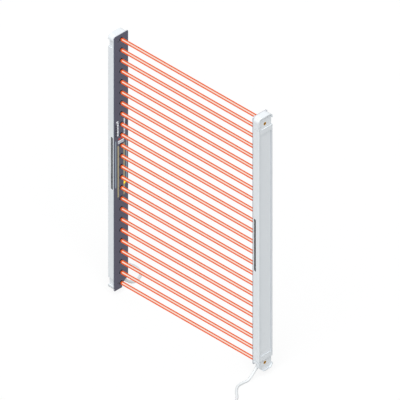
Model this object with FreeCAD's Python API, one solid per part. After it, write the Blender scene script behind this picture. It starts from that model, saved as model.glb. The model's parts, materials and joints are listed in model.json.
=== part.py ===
"""Safety light curtain: an emitter and a receiver, each a slim moulded unit with 24 optical channels
and a short pigtail that ends in a round plug.

Millimetres, +Z up. +X runs along the beams from the emitter to the receiver, and +Y across the units.
The origin is midway between the emitter's two brass mounting inserts, in the plane of their mouths.
A unit is drawn once, in its own frame: x grows from its mounting pads to its optical face, the cable
leaves at its bottom corner on the +y side, and z = 0 is half-way up. The receiver is the same unit
turned half a turn about +Z.
"""

import FreeCAD, Part

import math
import os

from FreeCAD import Placement, Rotation, Vector

# ---- Optical layout ----
BEAM_COUNT = 24
BEAM_PITCH = 20.0
END_MARGIN = 10.0  # from a unit's end to its nearest beam
FIELD_DEPTH = 302.0  # from one optical face to the other

# ---- Unit envelope ----
UNIT_WIDTH = 31.0
UNIT_DEPTH = 13.5  # back of the body to the optical face
PAD_INSET = 2.0  # how far the mounting pads lie inside the body's back face
CAP_LENGTH = 21.0
CAP_CORNER_RADIUS = 7.5

# ---- Front panel ----
PANEL_THICKNESS = 1.6
PANEL_CORNER_RADIUS = 2.3
PANEL_CORNER_FLATS = 5  # small flats that make up a rounded corner
PANEL_EDGE_RADIUS = 1.3
APERTURE_DIAMETER = 8.0
APERTURE_SIDES = 12
PANEL_BITE_WEB = 0.95  # left between the last aperture and the concave corner that clears the cable
INLAY_DEPTH = 0.6
INLAY_PROUD = 0.1
INLAY_CLEARANCE = 0.05

# ---- Indicator bars and status light on the front panel ----
OUTER_BAR_FROM_SIDE = 3.5
OUTER_BAR_WIDTH = 2.2
OUTER_BAR_BOTTOM = -46.0
OUTER_BAR_TOP = 42.0
INNER_BAR_Y = 6.4
INNER_BAR_WIDTH = 3.0
INNER_BAR_BOTTOM = -66.0
INNER_BAR_TOP = 31.0
STATUS_LIGHT_Z = -45.0
STATUS_LIGHT_RADIUS = 1.3
STATUS_LIGHT_GAP = 0.5  # from the light's pipe to the bars above and below it
STATUS_LIGHT_PROUD = 0.3

# ---- Housing ----
SIDE_WALL = 1.8
BACK_WALL = 1.4
RECESS_DEPTH = 1.2
RECESS_RIM = 3.5  # width of the rim on each side of the back recess
RECESS_END = 10.0  # from the body's end to the recess
BACK_EDGE_RADIUS = 1.0
RIB_HEIGHT = 3.0
RIB_WIDTH = 1.2
RIB_FROM_WALL = 3.3  # from the cavity's side wall to a rail's centreline

# ---- Side slots and their strips ----
SLOT_LENGTH = 100.0
SLOT_WIDTH = 4.5
SLOT_END_SIDES = 12  # flat sides of a full turn at the slots' round ends
SLOT_FROM_FACE = 5.0  # from the optical face to the slot's centreline
STRIP_SUNK = 1.0
STRIP_FLANGE = 0.8
STRIP_OVERLAP = 0.7
STRIP_CLEARANCE = 0.1

# ---- End caps ----
CAP_SIDE_INSET = 1.7
CAP_WALL = 1.5
CAP_END_WALL = 2.4
CAP_INNER_CHAMFER = 4.5
CAP_LIP = 1.8
CAP_RIM = 3.0  # raised rim of the pad pocket, on the cable side
CAP_LIP_DROP = 1.0  # how far the lip's ear reaches below the rounded corner
SPIGOT_LENGTH = 5.0
SPIGOT_WALL = 1.2
SPIGOT_CLEARANCE = 0.1
GASKET_THICKNESS = 0.8
GASKET_INSET = 0.3
EXIT_LEG = 17.0  # the 45-degree face that the cable leaves by
EXIT_REAR_LEG = 11.5  # the smaller chamfer of the cap's back part
EXIT_WALL = 1.7
EXIT_FRONT_X = 2.0  # where the deep chamfer starts

# ---- Brass inserts (M4) and panel screws (M2) ----
INSERT_TO_END = 14.5
INSERT_RADIUS = 2.8
INSERT_LENGTH = 3.4
INSERT_BORE_RADIUS = 1.65
INSERT_BORE_DEPTH = 2.8
SCREW_BOSS_GAP = 0.2  # from a screw boss to the optics
SCREW_TO_END = 12.0
SCREW_RADIUS = 0.8
SCREW_HEAD_RADIUS = 1.5
SCREW_HEAD_HEIGHT = 0.9
SCREW_LENGTH = 5.5
SCREW_BOSS_RADIUS = 1.9
SMALL_SIDES = 12  # flat sides of the small round pieces that nothing turns on
INSERT_SIDES = 12

# ---- Inside: board, light sources, optics ----
BOARD_THICKNESS = 1.0
BOARD_SIDE_GAP = 1.7  # from the board's edge to the cavity's side wall
OPTICS_HALF_WIDTH = 4.5
OPTICS_END_GAP = 4.0  # from the unit's end to the optics
BOARD_SHOULDER = 2.0  # how far the full board width runs into the cap
LENS_PLATE = 1.5
LENS_SIDE = 5.6
LENS_TOP_SIDE = 3.6
LENS_RISE = 0.9
DIODE_SIZE = 2.6
DIODE_HEIGHT = 1.6
DIODE_WINDOW = 1.6
CHANNEL_REAR = 3.4
CHANNEL_FRONT = 6.6
CHIP_COUNT = 6
CHIP_PITCH = 60.0
COMPONENT_GAP = 1.25  # from the chips and the header to the optics and to the board's edge
CHIP_LENGTH = 9.0
CHIP_HEIGHT = 1.4
HEADER_LENGTH = 6.0
HEADER_HEIGHT = 3.2
HEADER_FROM_END = 22.0
WIRE_RADIUS = 0.4
WIRE_SIDES = 4
WIRE_SPACING = 1.5
WIRE_LEAD = 1.2  # straight on from the cable, before the bend up to the header

# ---- Cable, strain relief and plug ----
CABLE_RADIUS = 2.25
CABLE_SIDES = 4
RELIEF_SIDES = 12
RELIEF_X = 5.9
RELIEF_ALONG_FACE = 10.8  # height of the relief's centre above the unit's bottom end
RELIEF_FLANGE_RADIUS = 3.4
RELIEF_FLANGE = 1.0
RELIEF_NECK_RADIUS = 2.6
RELIEF_ROOT_RADIUS = 3.0
RELIEF_TIP_RADIUS = 2.5
RELIEF_LENGTH = 10.0
ROUTE_DROP = 8.0  # from the units' bottom ends to the lying cable's centreline
PLUG_BOOT_LENGTH = 10.0
PLUG_BOOT_RADIUS = 2.9
PLUG_BOOT_WIDE = 4.4
PLUG_GRIP_RADIUS = 5.8
PLUG_GRIP_LENGTH = 14.0
PLUG_SHANK_RADIUS = 4.6
PLUG_COLLAR_RADIUS = 5.0
PLUG_SLEEVE_RADIUS = 4.3
PLUG_SLEEVE_BORE = 3.7
PLUG_SLEEVE_LENGTH = 1.8
PLUG_CHAMBER = 6.0
PLUG_COLLAR = 1.3
PLUG_FOOT = 4.0  # the carrier's solid end, seated in the grip
PLUG_FOOT_RADIUS = 4.0
NUT_RADIUS = 7.25
NUT_KNURL_LENGTH = 8.7
NUT_THREAD_RADIUS = 5.95
NUT_THREAD_LENGTH = 9.0
NUT_CLEARANCE = 0.08
NUT_PLAY = 0.3
NUT_FLUTES = 12
NUT_FLUTE_DEPTH = 0.5
NUT_SIDES = 16  # flat sides of the thread's envelope and of the collar's pocket
SEAL_RADIUS = 0.6
SEAL_SIDES = 4
PIN_RADIUS = 0.5
PIN_SIDES = 6
PIN_CIRCLE = 2.3
PIN_RECESS = 1.0

# ---- What follows from them ----
HEIGHT = BEAM_PITCH * (BEAM_COUNT - 1) + 2 * END_MARGIN
TOP = HEIGHT / 2
HALF_WIDTH = UNIT_WIDTH / 2
X_BACK = -PAD_INSET
X_FACE = X_BACK + UNIT_DEPTH
X_PANEL = X_FACE - PANEL_THICKNESS  # back of the front panel
X_CAVITY = X_BACK + RECESS_DEPTH + BACK_WALL
X_BOARD = X_CAVITY + RIB_HEIGHT
X_BOARD_FRONT = X_BOARD + BOARD_THICKNESS
X_LENS = X_PANEL - LENS_PLATE
BODY_TOP = TOP - CAP_LENGTH
HOUSING_TOP = BODY_TOP - GASKET_THICKNESS
CAVITY_HALF_WIDTH = HALF_WIDTH - SIDE_WALL
RIB_Y = CAVITY_HALF_WIDTH - RIB_FROM_WALL
BOARD_HALF_WIDTH = CAVITY_HALF_WIDTH - BOARD_SIDE_GAP
COMPONENT_Y = (BOARD_HALF_WIDTH + OPTICS_HALF_WIDTH) / 2
COMPONENT_WIDTH = BOARD_HALF_WIDTH - OPTICS_HALF_WIDTH - 2 * COMPONENT_GAP
HEADER_BOTTOM = -TOP + HEADER_FROM_END
OUTER_BAR_Y = HALF_WIDTH - OUTER_BAR_FROM_SIDE
SCREW_Y = -(OPTICS_HALF_WIDTH + SCREW_BOSS_RADIUS + SCREW_BOSS_GAP)
PANEL_BITE_RADIUS = math.hypot(HALF_WIDTH, END_MARGIN) - APERTURE_DIAMETER / 2 - PANEL_BITE_WEB
OPTICS_END = TOP - OPTICS_END_GAP
BEAM_HEIGHTS = [BEAM_PITCH * (i - (BEAM_COUNT - 1) / 2) for i in range(BEAM_COUNT)]
LAY_Z = -TOP - ROUTE_DROP
PLUG_AXIS_Z = LAY_Z - CABLE_RADIUS + NUT_RADIUS

# Where the cable leaves its relief, in a unit's frame.
EXIT_DIRECTION = Vector(0, 1, -1).normalize()
RELIEF_SEAT = Vector(
    RELIEF_X, HALF_WIDTH - (EXIT_LEG - RELIEF_ALONG_FACE), -TOP + RELIEF_ALONG_FACE
)
CABLE_EXIT = RELIEF_SEAT + EXIT_DIRECTION * RELIEF_LENGTH
TOUCHDOWN = CABLE_EXIT + Vector(0, 1, -1) * (CABLE_EXIT.z - LAY_Z)

# Cable routes in a unit's frame. Both drop from the relief to the surface and lie on it, and the last
# two points, at the plug's boot, are a little higher, because the plug is thicker than the cable.
EMITTER_ROUTE = [
    CABLE_EXIT,
    TOUCHDOWN,
    Vector(6.4, 42.1, LAY_Z),
    Vector(0.5, 54.8, LAY_Z),
    Vector(-11.0, 62.8, LAY_Z),
    Vector(-24.9, 64.0, LAY_Z),
    Vector(-38.4, 60.4, LAY_Z),
    Vector(-53.8, 63.0, PLUG_AXIS_Z),
    Vector(-66.4, 72.6, PLUG_AXIS_Z),
]
RECEIVER_ROUTE = [
    CABLE_EXIT,
    TOUCHDOWN,
    Vector(7.0, 41.5, LAY_Z),
    Vector(4.5, 54.0, LAY_Z),
    Vector(-4.0, 65.0, LAY_Z),
    Vector(-14.5, 74.5, LAY_Z),
    Vector(-22.5, 86.5, LAY_Z),
    Vector(-32.0, 97.0, PLUG_AXIS_Z),
    Vector(-42.5, 106.5, PLUG_AXIS_Z),
]


# ---- Small builders ----
def box(x0, x1, y0, y1, z0, z1):
    return Part.makeBox(x1 - x0, y1 - y0, z1 - z0, Vector(x0, y0, z0))


def rod(start, direction, radius, length):
    return Part.makeCylinder(radius, length, start, direction)


def ring_of(sides, radius, centre, direction):
    """Polygon with its corners on a circle."""
    turn = Rotation(Vector(0, 0, 1), direction)
    corners = []
    for i in range(sides):
        angle = 2 * math.pi * (i + 0.5) / sides
        corners.append(centre + turn.multVec(Vector(math.cos(angle), math.sin(angle), 0) * radius))
    return Part.makePolygon(corners + corners[:1])


def prism(start, direction, radius, length, sides):
    """Like a rod, with flat sides, and its corners on the circle."""
    axis = Vector(direction).normalize()
    return Part.Face(ring_of(sides, radius, start, axis)).extrude(axis * length)


def faceted(profile, sides, base=Vector(0, 0, 0), direction=Vector(0, 0, 1)):
    """Like a turned solid, with flat sides."""
    rings = []
    for radius, height in profile:
        angles = [2 * math.pi * (i + 0.5) / sides for i in range(sides)]
        rings.append([Vector(radius * math.cos(a), radius * math.sin(a), height) for a in angles])
    faces = []
    for low, high in zip(rings, rings[1:] + rings[:1]):
        for i in range(sides):
            j = (i + 1) % sides
            corners = [low[i], low[j], high[j], high[i]]
            apart = [c for k, c in enumerate(corners) if (c - corners[k - 1]).Length > 1e-6]
            if len(apart) > 2:
                faces.append(Part.Face(Part.makePolygon(apart + apart[:1])))
    solid = Part.makeSolid(Part.makeShell(faces))
    if solid.Volume < 0:
        solid.reverse()
    solid = solid.removeSplitter()
    solid.Placement = Placement(base, Rotation(Vector(0, 0, 1), direction))
    return solid


def square_taper(x0, side0, x1, side1, z):
    """Four-sided taper along x, centred on the beam at height z."""
    rings = []
    for x, side in ((x0, side0), (x1, side1)):
        half = side / 2
        rings.append([Vector(x, a * half, z + b * half) for a, b in ((-1, -1), (1, -1), (1, 1), (-1, 1))])
    faces = [Part.Face(Part.makePolygon(ring + ring[:1])) for ring in rings]
    for i in range(4):
        j = (i + 1) % 4
        corners = [rings[0][i], rings[0][j], rings[1][j], rings[1][i]]
        faces.append(Part.Face(Part.makePolygon(corners + corners[:1])))
    solid = Part.makeSolid(Part.makeShell(faces))
    if solid.Volume < 0:
        solid.reverse()
    return solid


def fillet_where(shape, radius, wanted):
    return shape.makeFillet(radius, [e for e in shape.Edges if wanted(e)])


def along(edge, axis):
    """Whether a straight edge runs along the x, y or z axis."""
    if not isinstance(edge.Curve, (Part.Line, Part.LineSegment)):
        return False
    direction = edge.tangentAt(edge.FirstParameter)
    return abs(getattr(direction, axis)) > 0.999


def stadium(x, half_length, radius, y0, y1):
    """Upright slot shape, round at both ends, from y0 to y1."""
    corners = []
    straight = half_length - radius
    for end in (1, -1):
        for i in range(SLOT_END_SIDES // 2 + 1):
            angle = 2 * math.pi * i / SLOT_END_SIDES
            corners.append(
                Vector(x + end * radius * math.cos(angle), y0,
                       end * (straight + radius * math.sin(angle)))
            )
    face = Part.Face(Part.makePolygon(corners + corners[:1]))
    return face.extrude(Vector(0, y1 - y0, 0))


def rounded_plate(x0, x1, radius):
    """Slab of a unit's width and height, its corners rounded in small flats."""
    corners = []
    for quarter, (side, end) in enumerate(((1, 1), (-1, 1), (-1, -1), (1, -1))):
        for i in range(PANEL_CORNER_FLATS + 1):
            angle = math.pi / 2 * (quarter + i / PANEL_CORNER_FLATS)
            corners.append(Vector(
                x0,
                side * (HALF_WIDTH - radius) + radius * math.cos(angle),
                end * (TOP - radius) + radius * math.sin(angle),
            ))
    return Part.Face(Part.makePolygon(corners + corners[:1])).extrude(Vector(x1 - x0, 0, 0))


def cable_corner(leg, x0, x1):
    """45-degree wedge at a unit's bottom corner on the cable side."""
    past = 1.0  # beyond the corner, so that no sliver stays
    points = [
        Vector(x0, HALF_WIDTH + past, -TOP - past),
        Vector(x0, HALF_WIDTH + past, -TOP + leg + past),
        Vector(x0, HALF_WIDTH - leg - past, -TOP - past),
    ]
    face = Part.Face(Part.makePolygon(points + points[:1]))
    return face.extrude(Vector(x1 - x0, 0, 0))


def flip(shape):
    """The same shape at the unit's other end."""
    return shape.mirror(Vector(0, 0, 0), Vector(0, 0, 1))


def tube(points, radius, sides):
    """Tube along straight runs joined by tangent arcs: solid, length, bend radii, volume ratio."""
    runs = [(b - a).Length for a, b in zip(points, points[1:])]
    edges = []
    start = points[0]
    radii = []
    for i in range(1, len(points) - 1):
        back = (points[i - 1] - points[i]).normalize()
        onward = (points[i + 1] - points[i]).normalize()
        turn = math.pi - back.getAngle(onward)
        reach = 0.45 * min(runs[i - 1], runs[i])
        bend = reach / math.tan(turn / 2)
        radii.append(bend)
        arc_in = points[i] + back * reach
        arc_out = points[i] + onward * reach
        inward = (back + onward).normalize()
        middle = points[i] + inward * (bend / math.cos(turn / 2) - bend)
        edges.append(Part.LineSegment(start, arc_in).toShape())
        edges.append(Part.Arc(arc_in, middle, arc_out).toShape())
        start = arc_out
    edges.append(Part.LineSegment(start, points[-1]).toShape())
    path = Part.Wire(edges)
    ring = ring_of(sides, radius, points[0], (points[1] - points[0]).normalize())
    solid = path.makePipeShell([ring], True, False)
    expected = Part.Face(ring).Area * path.Length
    return solid, path.Length, radii, solid.Volume / expected


# ---- Housing and panel ----
def housing():
    body = box(X_BACK, X_PANEL, -HALF_WIDTH, HALF_WIDTH, -HOUSING_TOP, HOUSING_TOP)
    body = fillet_where(
        body, BACK_EDGE_RADIUS, lambda e: along(e, "z") and e.CenterOfMass.x < X_BACK + 0.1
    )
    recess_y = HALF_WIDTH - RECESS_RIM
    recess_z = BODY_TOP - RECESS_END
    recess = box(X_BACK - 1, X_BACK + RECESS_DEPTH, -recess_y, recess_y, -recess_z, recess_z)
    cavity = box(
        X_CAVITY, X_PANEL + 1, -CAVITY_HALF_WIDTH, CAVITY_HALF_WIDTH, -TOP, TOP
    )
    slot_x = X_FACE - SLOT_FROM_FACE
    slots = stadium(slot_x, SLOT_LENGTH / 2, SLOT_WIDTH / 2, -HALF_WIDTH - 1, HALF_WIDTH + 1)
    body = body.cut([recess, cavity, slots])
    rib_end = HOUSING_TOP - SPIGOT_LENGTH - 1
    ribs = [
        box(X_CAVITY, X_BOARD, y - RIB_WIDTH / 2, y + RIB_WIDTH / 2, -rib_end, rib_end)
        for y in (-RIB_Y, RIB_Y)
    ]
    return body.fuse(ribs).removeSplitter()


def side_strip(side):
    """Strip that closes a side slot from inside: a flange behind the wall and a sunk face in the slot."""
    slot_x = X_FACE - SLOT_FROM_FACE
    inner = CAVITY_HALF_WIDTH
    face = stadium(
        slot_x,
        SLOT_LENGTH / 2 - STRIP_CLEARANCE,
        SLOT_WIDTH / 2 - STRIP_CLEARANCE,
        inner - STRIP_FLANGE / 2,
        HALF_WIDTH - STRIP_SUNK,
    )
    flange_x = SLOT_WIDTH / 2 + STRIP_OVERLAP
    flange_z = SLOT_LENGTH / 2 + STRIP_OVERLAP
    flange = box(
        slot_x - flange_x, slot_x + flange_x, inner - STRIP_FLANGE, inner, -flange_z, flange_z
    )
    strip = face.fuse(flange).removeSplitter()
    return strip if side > 0 else strip.mirror(Vector(0, 0, 0), Vector(0, 1, 0))


def inlay_boxes(clearance, depth, proud):
    """The two outer bars and the three inner ones, as grooves or as the bars that fill them."""
    x0, x1 = X_FACE - depth, X_FACE + proud
    gap = STATUS_LIGHT_RADIUS + STATUS_LIGHT_GAP
    spans = {
        "outer": [
            (-OUTER_BAR_Y, OUTER_BAR_WIDTH, OUTER_BAR_BOTTOM, OUTER_BAR_TOP),
            (OUTER_BAR_Y, OUTER_BAR_WIDTH, OUTER_BAR_BOTTOM, OUTER_BAR_TOP),
        ],
        "inner": [
            (-INNER_BAR_Y, INNER_BAR_WIDTH, INNER_BAR_BOTTOM, INNER_BAR_TOP),
            (INNER_BAR_Y, INNER_BAR_WIDTH, INNER_BAR_BOTTOM, STATUS_LIGHT_Z - gap),
            (INNER_BAR_Y, INNER_BAR_WIDTH, STATUS_LIGHT_Z + gap, INNER_BAR_TOP),
        ],
    }
    return {
        name: [
            box(x0, x1, y - w / 2 + clearance, y + w / 2 - clearance, z0 + clearance, z1 - clearance)
            for y, w, z0, z1 in bars
        ]
        for name, bars in spans.items()
    }


def front_panel():
    panel = box(X_PANEL, X_FACE, -HALF_WIDTH, HALF_WIDTH, -TOP, TOP)
    panel = fillet_where(
        panel, PANEL_EDGE_RADIUS, lambda e: along(e, "z") and e.CenterOfMass.x > X_FACE - 0.1
    )
    panel = panel.common(rounded_plate(X_PANEL - 1, X_FACE + 1, PANEL_CORNER_RADIUS))
    forward = Vector(1, 0, 0)
    cuts = [
        prism(Vector(X_PANEL - 1, 0, z), forward, APERTURE_DIAMETER / 2, PANEL_THICKNESS + 2,
              APERTURE_SIDES)
        for z in BEAM_HEIGHTS
    ]
    cuts.append(
        rod(Vector(X_PANEL - 1, HALF_WIDTH, -TOP), forward, PANEL_BITE_RADIUS, PANEL_THICKNESS + 2)
    )
    cuts.append(
        prism(Vector(X_PANEL - 1, INNER_BAR_Y, STATUS_LIGHT_Z), forward,
              STATUS_LIGHT_RADIUS + INLAY_CLEARANCE, PANEL_THICKNESS + 2, SMALL_SIDES)
    )
    for z in (-TOP + SCREW_TO_END, TOP - SCREW_TO_END):
        cuts.append(prism(Vector(X_PANEL - 1, SCREW_Y, z), forward, SCREW_RADIUS,
                          PANEL_THICKNESS + 2, SMALL_SIDES))
        cuts.append(prism(Vector(X_FACE - SCREW_HEAD_HEIGHT, SCREW_Y, z), forward,
                          SCREW_HEAD_RADIUS, PANEL_THICKNESS, SMALL_SIDES))
    grooves = inlay_boxes(0.0, INLAY_DEPTH, 1.0)
    return panel.cut(cuts + grooves["outer"] + grooves["inner"])


def indicator_bars(which):
    return Part.makeCompound(inlay_boxes(INLAY_CLEARANCE, INLAY_DEPTH, INLAY_PROUD)[which])


def status_light():
    """Light pipe that stands on the board and shows through the front panel."""
    tip = X_FACE + STATUS_LIGHT_PROUD - X_BOARD_FRONT
    profile = [
        (0, 0),
        (STATUS_LIGHT_RADIUS, 0),
        (STATUS_LIGHT_RADIUS, tip - STATUS_LIGHT_PROUD),
        (STATUS_LIGHT_RADIUS - STATUS_LIGHT_PROUD, tip),
        (0, tip),
    ]
    base = Vector(X_BOARD_FRONT, INNER_BAR_Y, STATUS_LIGHT_Z)
    return faceted(profile, SMALL_SIDES, base, Vector(1, 0, 0))


def panel_screws():
    length = SCREW_LENGTH - SCREW_HEAD_HEIGHT
    profile = [
        (0, -length),
        (SCREW_RADIUS, -length),
        (SCREW_RADIUS, 0),
        (SCREW_HEAD_RADIUS, 0),
        (SCREW_HEAD_RADIUS, SCREW_HEAD_HEIGHT),
        (0, SCREW_HEAD_HEIGHT),
    ]
    seat_x = X_FACE - SCREW_HEAD_HEIGHT
    return Part.makeCompound([
        faceted(profile, SMALL_SIDES, Vector(seat_x, SCREW_Y, z), Vector(1, 0, 0))
        for z in (-TOP + SCREW_TO_END, TOP - SCREW_TO_END)
    ])


# ---- End caps ----
def pad_pocket():
    """What is cut away at the top cap's back and open side, so that a bracket lies flush."""
    ear = TOP - CAP_CORNER_RADIUS - CAP_LIP_DROP
    open_part = box(X_BACK - 1, 0, -HALF_WIDTH - 1, HALF_WIDTH - CAP_RIM, BODY_TOP - 1, ear)
    under_lip = box(
        X_BACK - 1, 0, -HALF_WIDTH + CAP_LIP, HALF_WIDTH - CAP_RIM, BODY_TOP - 1, TOP - CAP_LIP
    )
    under_lip = fillet_where(
        under_lip,
        CAP_CORNER_RADIUS - CAP_LIP,
        lambda e: along(e, "x") and e.CenterOfMass.y < 0 and e.CenterOfMass.z > BODY_TOP,
    )
    side = box(
        X_BACK - 1, X_PANEL + 1, -HALF_WIDTH - 1, -HALF_WIDTH + CAP_SIDE_INSET, BODY_TOP - 1, ear
    )
    return [open_part, under_lip, side]


def cap_shell():
    """The top cap before its bores: rounded cup with a spigot that plugs into the housing."""
    outer = box(X_BACK, X_PANEL, -HALF_WIDTH, HALF_WIDTH, BODY_TOP, TOP)
    outer = fillet_where(
        outer, CAP_CORNER_RADIUS, lambda e: along(e, "x") and e.CenterOfMass.z > BODY_TOP + 1
    )
    outer = outer.cut(pad_pocket())
    inner_low = -HALF_WIDTH + CAP_SIDE_INSET + CAP_WALL
    inner_high = HALF_WIDTH - SIDE_WALL
    hollow = box(X_BOARD, X_PANEL + 1, inner_low, inner_high, BODY_TOP - 1, TOP - CAP_END_WALL)
    inner_edges = [e for e in hollow.Edges if along(e, "x") and e.CenterOfMass.z > BODY_TOP]
    hollow = hollow.makeChamfer(CAP_INNER_CHAMFER, inner_edges)
    spigot_y = CAVITY_HALF_WIDTH - SPIGOT_CLEARANCE
    spigot_x = X_CAVITY + SPIGOT_CLEARANCE
    spigot = box(spigot_x, X_PANEL, -spigot_y, spigot_y, BODY_TOP - SPIGOT_LENGTH, BODY_TOP)
    spigot = spigot.cut(box(
        X_BOARD,
        X_PANEL + 1,
        -spigot_y + SPIGOT_WALL,
        spigot_y - SPIGOT_WALL,
        BODY_TOP - SPIGOT_LENGTH - 1,
        BODY_TOP,
    ))
    return outer.cut(hollow).fuse(spigot)


def with_bores(shell):
    """A cap shell with its screw boss, its screw's pilot hole and the seat of its brass insert."""
    forward = Vector(1, 0, 0)
    screw_z = TOP - SCREW_TO_END
    boss = prism(Vector(X_BOARD - 0.5, SCREW_Y, screw_z), forward, SCREW_BOSS_RADIUS,
                 X_PANEL - X_BOARD + 0.5, SMALL_SIDES)
    pilot_depth = SCREW_LENGTH - PANEL_THICKNESS
    pilot = prism(Vector(X_PANEL - pilot_depth, SCREW_Y, screw_z), forward, SCREW_RADIUS,
                  pilot_depth + 1, SMALL_SIDES)
    seat = prism(Vector(0, 0, TOP - INSERT_TO_END), forward, INSERT_RADIUS, INSERT_LENGTH,
                 INSERT_SIDES)
    return shell.fuse(boss).cut([pilot, seat]).removeSplitter()


def top_cap():
    return with_bores(cap_shell())


def bottom_cap():
    shell = flip(with_bores(cap_shell()))
    wall_leg = EXIT_LEG + EXIT_WALL * math.sqrt(2)
    wall = cable_corner(wall_leg, EXIT_FRONT_X, X_PANEL)
    envelope = box(X_BACK, X_PANEL, 0, HALF_WIDTH, -TOP, -BODY_TOP)
    shell = shell.fuse(wall.common(envelope))
    neck = prism(RELIEF_SEAT - EXIT_DIRECTION * (EXIT_WALL + 1), EXIT_DIRECTION,
                 RELIEF_NECK_RADIUS, EXIT_WALL + 2, RELIEF_SIDES)
    cuts = [
        cable_corner(EXIT_LEG, EXIT_FRONT_X, X_PANEL + 1),
        cable_corner(EXIT_REAR_LEG, X_BACK - 1, EXIT_FRONT_X),
        neck,
    ]
    return shell.cut(cuts).removeSplitter()


def cap_gasket():
    """Flat seal between the housing's top end and the cap's shoulder, round the spigot."""
    outline = box(
        X_BACK + GASKET_INSET,
        X_PANEL,
        -HALF_WIDTH + GASKET_INSET,
        HALF_WIDTH - GASKET_INSET,
        HOUSING_TOP,
        BODY_TOP,
    )
    opening = box(X_CAVITY, X_PANEL + 1, -CAVITY_HALF_WIDTH, CAVITY_HALF_WIDTH,
                  HOUSING_TOP - 1, BODY_TOP + 1)
    recess_y = HALF_WIDTH - CAP_RIM
    pad = box(X_BACK - 1, 0, -HALF_WIDTH - 1, recess_y, HOUSING_TOP - 1, BODY_TOP + 1)
    side = box(X_BACK - 1, X_PANEL + 1, -HALF_WIDTH - 1, -HALF_WIDTH + CAP_SIDE_INSET,
               HOUSING_TOP - 1, BODY_TOP + 1)
    return outline.cut([opening, pad, side])


def insert():
    seat = Vector(0, 0, TOP - INSERT_TO_END)
    forward = Vector(1, 0, 0)
    body = prism(seat, forward, INSERT_RADIUS, INSERT_LENGTH, INSERT_SIDES)
    return body.cut(rod(seat - forward, forward, INSERT_BORE_RADIUS, INSERT_BORE_DEPTH + 1))


# ---- Inside ----
def end_clearance():
    """Wedge that keeps the board and the optics off the wall behind the cable's exit face."""
    leg = EXIT_LEG + (EXIT_WALL + 0.2) * math.sqrt(2)
    return cable_corner(leg, X_CAVITY, X_FACE)


def circuit_board():
    shoulder = BODY_TOP + BOARD_SHOULDER
    board = box(X_BOARD, X_BOARD_FRONT, -BOARD_HALF_WIDTH, BOARD_HALF_WIDTH, -shoulder, shoulder)
    tongue = box(
        X_BOARD, X_BOARD_FRONT, -OPTICS_HALF_WIDTH, OPTICS_HALF_WIDTH, -OPTICS_END, OPTICS_END
    )
    return board.fuse(tongue).cut(end_clearance()).removeSplitter()


def optics_holder():
    """Dark strip with a flared square channel in front of each diode."""
    strip = box(
        X_BOARD_FRONT, X_LENS, -OPTICS_HALF_WIDTH, OPTICS_HALF_WIDTH, -OPTICS_END, OPTICS_END
    )
    channels = [
        square_taper(X_BOARD_FRONT, CHANNEL_REAR, X_LENS, CHANNEL_FRONT, z) for z in BEAM_HEIGHTS
    ]
    return strip.cut(channels + [end_clearance()])


def lens_strip():
    """Smoked window behind the panel, with a square lens for each channel on its inner side."""
    strip = box(X_LENS, X_PANEL, -OPTICS_HALF_WIDTH, OPTICS_HALF_WIDTH, -OPTICS_END, OPTICS_END)
    strip = strip.cut(end_clearance())
    lenses = [
        square_taper(X_LENS - LENS_RISE, LENS_TOP_SIDE, X_LENS, LENS_SIDE, z) for z in BEAM_HEIGHTS
    ]
    return strip.fuse(lenses)


def diodes():
    """One surface-mounted diode for each channel, its package narrowing to its window."""
    return Part.makeCompound([
        square_taper(X_BOARD_FRONT, DIODE_SIZE, X_BOARD_FRONT + DIODE_HEIGHT, DIODE_WINDOW, z)
        for z in BEAM_HEIGHTS
    ])


def control_chips():
    first = -CHIP_PITCH * (CHIP_COUNT - 1) / 2
    return Part.makeCompound([
        box(
            X_BOARD_FRONT,
            X_BOARD_FRONT + CHIP_HEIGHT,
            -COMPONENT_Y - COMPONENT_WIDTH / 2,
            -COMPONENT_Y + COMPONENT_WIDTH / 2,
            first + CHIP_PITCH * i - CHIP_LENGTH / 2,
            first + CHIP_PITCH * i + CHIP_LENGTH / 2,
        )
        for i in range(CHIP_COUNT)
    ])


def wire_header():
    return box(
        X_BOARD_FRONT,
        X_BOARD_FRONT + HEADER_HEIGHT,
        COMPONENT_Y - COMPONENT_WIDTH / 2,
        COMPONENT_Y + COMPONENT_WIDTH / 2,
        HEADER_BOTTOM,
        HEADER_BOTTOM + HEADER_LENGTH,
    )


def lead_wires():
    """Four cores from the cable's inner end up to the header."""
    mitred = 1
    inner_end = RELIEF_SEAT - EXIT_DIRECTION * EXIT_WALL
    across = Vector(0, 1, 1).normalize()
    header_x = X_BOARD_FRONT + HEADER_HEIGHT / 2
    wires = []
    for dx in (-WIRE_SPACING / 2, WIRE_SPACING / 2):
        for side in (-WIRE_SPACING / 2, WIRE_SPACING / 2):
            start = inner_end + across * side + Vector(header_x - RELIEF_X + dx, 0, 0)
            elbow = start - EXIT_DIRECTION * WIRE_LEAD
            end = Vector(elbow.x, elbow.y, HEADER_BOTTOM)
            section = ring_of(WIRE_SIDES, WIRE_RADIUS, start, -EXIT_DIRECTION)
            path = Part.Wire(Part.makePolygon([start, elbow, end]))
            wires.append(path.makePipeShell([section], True, False, mitred))
    return Part.makeCompound(wires)


# ---- Pigtail ----
def strain_relief():
    """Moulded boot: neck through the cap's wall, flange on its outside, and a tapered tail."""
    profile = [
        (0, -EXIT_WALL),
        (RELIEF_NECK_RADIUS, -EXIT_WALL),
        (RELIEF_NECK_RADIUS, 0),
        (RELIEF_FLANGE_RADIUS, 0),
        (RELIEF_FLANGE_RADIUS, RELIEF_FLANGE),
        (RELIEF_ROOT_RADIUS, RELIEF_FLANGE),
        (RELIEF_TIP_RADIUS, RELIEF_LENGTH),
        (0, RELIEF_LENGTH),
    ]
    return faceted(profile, RELIEF_SIDES, RELIEF_SEAT, EXIT_DIRECTION)


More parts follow.
